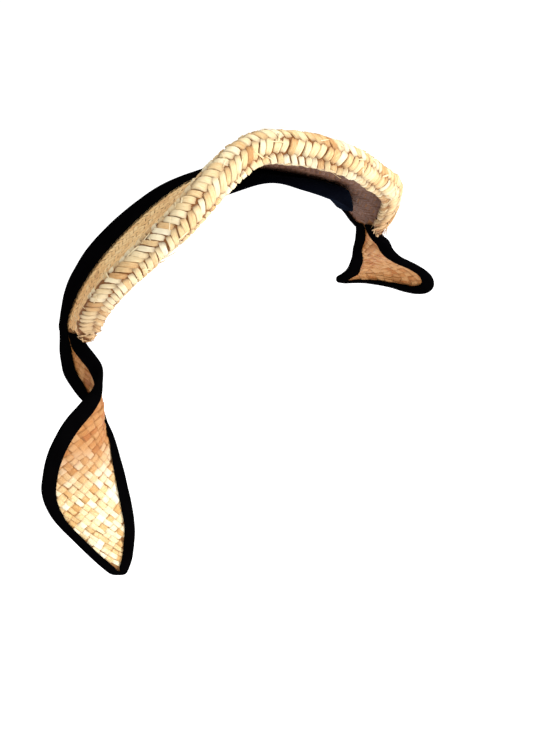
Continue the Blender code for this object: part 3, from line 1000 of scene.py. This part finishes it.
ROLL_TONES = (
    (0.00, (0.33, 0.135, 0.035)),
    (0.20, (0.55, 0.300, 0.110)),
    (0.38, (0.71, 0.520, 0.265)),
    (0.60, (0.79, 0.670, 0.430)),
    (1.00, (0.86, 0.800, 0.625)),
)
TAIL_TONES = (
    (0.00, (0.40, 0.180, 0.045)),
    (0.25, (0.64, 0.370, 0.130)),
    (0.42, (0.79, 0.610, 0.325)),
    (0.60, (0.88, 0.790, 0.570)),
    (1.00, (0.92, 0.890, 0.780)),
)
SHELL_TONES = (
    (0.00, (0.58, 0.290, 0.115)),
    (0.40, (0.84, 0.530, 0.225)),
    (0.70, (0.92, 0.670, 0.340)),
    (1.00, (0.93, 0.760, 0.500)),
)
# The straw of the inner face is painted very dark: painted shade, as it lies under the hat on a head
LINING_PAINTED_SHADE_TONES = (
    (0.00, (0.06, 0.022, 0.012)),
    (0.45, (0.13, 0.058, 0.036)),
    (1.00, (0.22, 0.120, 0.080)),
)
FIBRES = fibre_group()
# Each straw below gets, after its shaded colour, a dark brown colour that is painted shade at the ears
ROLL_STRAW = straw_material(
    "rolled_straw_strands", ROLL_TONES, shaded=(0.13, 0.040, 0.009), painted_ear_shade=(0.70, 0.54, 0.42),
    roughness=0.45, end_shade=0.85,
)
SHELL_STRAW = straw_material(
    "shell_straw_strands", SHELL_TONES, shaded=(0.26, 0.130, 0.060), painted_ear_shade=(0.80, 0.66, 0.55),
    roughness=0.50, end_shade=0.60,
)
# The inner face's straw, with its tones darkened as painted shade
LINING_STRAW_PAINTED_SHADE = straw_material(
    "lining_straw_strands", LINING_PAINTED_SHADE_TONES, shaded=(0.14, 0.060, 0.025), painted_ear_shade=(0.80, 0.66, 0.55),
    roughness=0.55, end_shade=0.70,
)
TAIL_STRAW = straw_material(
    "tail_straw_strands", TAIL_TONES, shaded=(0.24, 0.090, 0.022), painted_ear_shade=(0.54, 0.30, 0.15),
    roughness=0.45, end_shade=0.80,
)
ROLL_BACKING = backing_material("roll_straw_backing", (0.110, 0.034, 0.008), (0.260, 0.110, 0.035))
TAIL_BACKING_STRAW = backing_material("tail_straw_backing", (0.200, 0.075, 0.018), (0.420, 0.210, 0.075))
VELVET = velvet_material(
    "black_velvet_pile", (0.0010, 0.0009, 0.0011), sheen=0.0, tint=(0.60, 0.60, 0.70, 1.0),
)
BAND_VELVET = velvet_material(
    "black_band_velvet", (0.0012, 0.0014, 0.0028), sheen=0.030, tint=(0.30, 0.45, 0.85, 1.0),
)


def ride(piece, node):
    """Rides the piece on the hat's one body, and hides the solid it stands for."""
    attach(piece, "root")
    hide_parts(node)


def make_slivers(name, rows, strand, material, lift, seed):
    """Stray slivers of straw that stand up here and there over a grid of (point, place) rows."""
    chance = random.Random(seed)
    vertices = [vertex.co.copy() for vertex in strand.data.vertices]
    faces = [tuple(face.vertices) for face in strand.data.polygons]
    all_vertices = []
    all_faces = []
    tones = []
    for _ in range(SLIVERS):
        row = chance.randrange(SLIVER_MARGIN, len(rows) - SLIVER_MARGIN - 1)
        column = chance.randrange(SLIVER_MARGIN, len(rows[0]) - SLIVER_MARGIN)
        spot = rows[row][column][0]
        along = (rows[row + 1][column][0] - spot).normalized()
        across = (rows[row][column + 1][0] - spot).normalized()
        out = across.cross(along).normalized()
        lean = chance.uniform(-SLIVER_LEAN, SLIVER_LEAN)
        tip = chance.uniform(*SLIVER_TIP)
        down = along * math.cos(lean) + across * math.sin(lean)
        side = out.cross(down).normalized()
        length = chance.uniform(*SLIVER_LENGTH)
        width = chance.uniform(*SLIVER_WIDTH)
        first = len(all_vertices)
        for vertex in vertices:
            rise = lift + width * SLIVER_RELIEF * vertex.z + length * math.sin(tip) * (vertex.x + 1) / 2
            all_vertices.append(spot + down * length * vertex.x + side * width * vertex.y + out * rise)
            tones.append(SLIVER_TONE + (1 - SLIVER_TONE) * vertex.z * chance.random())
        all_faces.extend(tuple(first + corner for corner in face) for face in faces)
    slivers = make_mesh_object(name, all_vertices, all_faces, material)
    slivers.data.attributes.new("tone", "FLOAT", "POINT").data.foreach_set("value", tones)
    face_out(slivers)
    return slivers


def tucked(section):
    """A section of the band with its back edge pressed up against the velvet above it."""
    shares = [(i / (len(section) - 1)) ** 3 for i in range(len(section))]
    return [p + (p - HEAD_MIDDLE).normalized() * BAND_TUCK * share for p, share in zip(section, shares)]


def points_of(rows):
    """The points alone of rows of (point, place)."""
    return [[point for point, place in row] for row in rows]


def make_crown():
    """The straw crown: its backing, and the plaits of its roll, its shell and its inner face."""
    backing = make_sheet("straw_crown_backing", points_of(crown_rows(*BACKING_GRID)), CROWN_BACKING,
                         ROLL_BACKING)
    rolled = crown_rows(*ROLL_GRID)
    roll = lay_plait("straw_roll_plait", rolled, ROLL_STRAW, STRAND, ROLL_KIND, ROLL_BED, seed=3)
    slivers = make_slivers("straw_roll_slivers", rolled, THIN_STRAND, ROLL_STRAW, STRAW_WALL / 2, seed=9)
    shell = lay_plait("straw_shell_plait", crown_rows(*SHELL_GRID), SHELL_STRAW, THIN_STRAND, SHELL_KIND,
                      SHELL_BED, seed=4)
    lining = lay_plait("straw_lining_plait", crown_rows(*LINING_GRID), LINING_STRAW_PAINTED_SHADE, THIN_STRAND,
                       LINING_KIND, LINING_BED, seed=5, flipped=True)
    for piece in (backing, roll, slivers, shell, lining):
        ride(piece, "straw_crown")


def make_tail(side, name, table, seed):
    """A tail: its backing, a plait on each face, and the velvet folded over its edge all round."""
    rows = lapped(tail_rows(table, side))
    grid = tail_grid(rows, *TAIL_GRID)
    node = "tail_" + name
    backing = make_sheet("tail_backing_" + name, points_of(grid[::2]), TAIL_BACKING, TAIL_BACKING_STRAW)
    ride(backing, node)
    for face, flipped in (("face", False), ("back", True)):
        plait = lay_plait("tail_plait_" + face + "_" + name, grid, TAIL_STRAW, STRAND, TAIL_KIND,
                          TAIL_BED, seed + flipped, flipped)
        ride(plait, node)
    velvet = make_sheet("tail_velvet_" + name, tail_fold(rows), VELVET_WALL, VELVET, 1, PUCKER)
    ride(velvet, "tail_binding_" + name)


PLAIT = plait_tree()
STRAND = make_strand("strand_pattern", STRAND_STATIONS, STRAND_PROFILE)
THIN_STRAND = make_strand("thin_strand_pattern", THIN_STATIONS, THIN_PROFILE)
make_crown()
make_tail(-1, "right", RIGHT_TAIL, seed=21)
make_tail(1, "left", LEFT_TAIL, seed=31)
back_sections = [back_fold(CROWN_END * i / BACK_STATIONS) for i in range(BACK_STATIONS + 1)]
back_velvet = make_sheet("back_velvet", back_sections, VELVET_WALL, VELVET, 1, PUCKER)
ride(back_velvet, "back_binding")
band_end = len(BANDEAU_ROWS) - 1
band_sections = [tucked(bandeau_section(band_end * i / BAND_STATIONS)) for i in range(BAND_STATIONS + 1)]
band = make_sheet("band_velvet", band_sections, BANDEAU_WALL, BAND_VELVET, 1, PUCKER / 2)
ride(band, "velvet_bandeau")
for pattern in (STRAND, THIN_STRAND):
    bpy.data.objects.remove(pattern)


# The stage: half the floor's size, its level, and its own light; the light of the room; what the
# lights point at, and each one's place, width and power
FLOOR_HALF = 9.0
FLOOR_LEVEL = -0.36
FLOOR_GLOW = 0.66
ROOM_LIGHT = 0.42
WHITE = (1.0, 1.0, 1.0, 1.0)
LIT_MIDDLE = Vector((0.0, -0.01, -0.04))
LIGHTS = (
    ("key_light", Vector((0.70, -0.82, 0.34)), 0.35, 15.5),
    ("fill_light", Vector((-0.75, -0.85, 0.10)), 0.60, 3.5),
    ("top_light", Vector((-0.15, -0.05, 1.00)), 0.60, 5.5),
)

# The photograph's view: round to the wearer's right, above, leaning over; the camera's place, its
# lens and the picture's height in pixels
VIEW_TURN = math.radians(-24)
VIEW_RISE = math.radians(22)
VIEW_ROLL = math.radians(12)
VIEW_PLACE = (-0.3286, -0.7575, 0.2256)
VIEW_SENSOR = 36.0
LENS_PIXELS = 1615.0
PHOTO_PIXELS = 733.0
VIEW_NEAR = 0.05
VIEW_FAR = 30.0


def make_stage():
    """A plain pale floor under the hat, soft studio light, and a white room."""
    turns = ((-1, -1), (1, -1), (1, 1), (-1, 1))
    corners = [(x * FLOOR_HALF, y * FLOOR_HALF, FLOOR_LEVEL) for x, y in turns]
    material, t, shader = new_material("pale_floor")
    t.fill(shader, {
        "Base Color": (0.95, 0.95, 0.95, 1.0),
        "Roughness": 0.9,
        "Specular IOR Level": 0.1,
        "Emission Color": WHITE,
        "Emission Strength": FLOOR_GLOW,
    })
    floor = make_mesh_object("floor", corners, [(0, 1, 2, 3)], material)
    room = bpy.data.worlds.new("white_room")
    room.use_nodes = True
    background = room.node_tree.nodes["Background"]
    background.inputs["Color"].default_value = WHITE
    background.inputs["Strength"].default_value = ROOM_LIGHT
    bpy.context.scene.world = room
    for name, place, width, power in LIGHTS:
        data = bpy.data.lights.new(name, "AREA")
        data.shape = "DISK"
        data.size = width
        data.energy = power
        light = bpy.data.objects.new(name, data)
        light.location = place
        light.rotation_euler = (LIT_MIDDLE - place).to_track_quat("-Z", "Y").to_euler()
        bpy.context.scene.collection.objects.link(light)
    bpy.context.scene.view_settings.view_transform = "Standard"


def make_camera():
    """The camera that sees the hat as the photograph does."""
    back = Vector((
        math.sin(VIEW_TURN) * math.cos(VIEW_RISE), -math.cos(VIEW_TURN) * math.cos(VIEW_RISE),
        math.sin(VIEW_RISE),
    ))
    level = Vector((math.cos(VIEW_TURN), math.sin(VIEW_TURN), 0.0))
    upright = back.cross(level)
    right = level * math.cos(VIEW_ROLL) - upright * math.sin(VIEW_ROLL)
    up = level * math.sin(VIEW_ROLL) + upright * math.cos(VIEW_ROLL)
    data = bpy.data.cameras.new("photo_view")
    data.sensor_width = VIEW_SENSOR
    data.lens = VIEW_SENSOR * LENS_PIXELS / PHOTO_PIXELS
    data.clip_start = VIEW_NEAR
    data.clip_end = VIEW_FAR
    camera = bpy.data.objects.new("photo_view", data)
    camera.matrix_world = Matrix([*zip(right, up, back, VIEW_PLACE), (0.0, 0.0, 0.0, 1.0)])
    bpy.context.scene.collection.objects.link(camera)
    bpy.context.scene.camera = camera


make_stage()
make_camera()
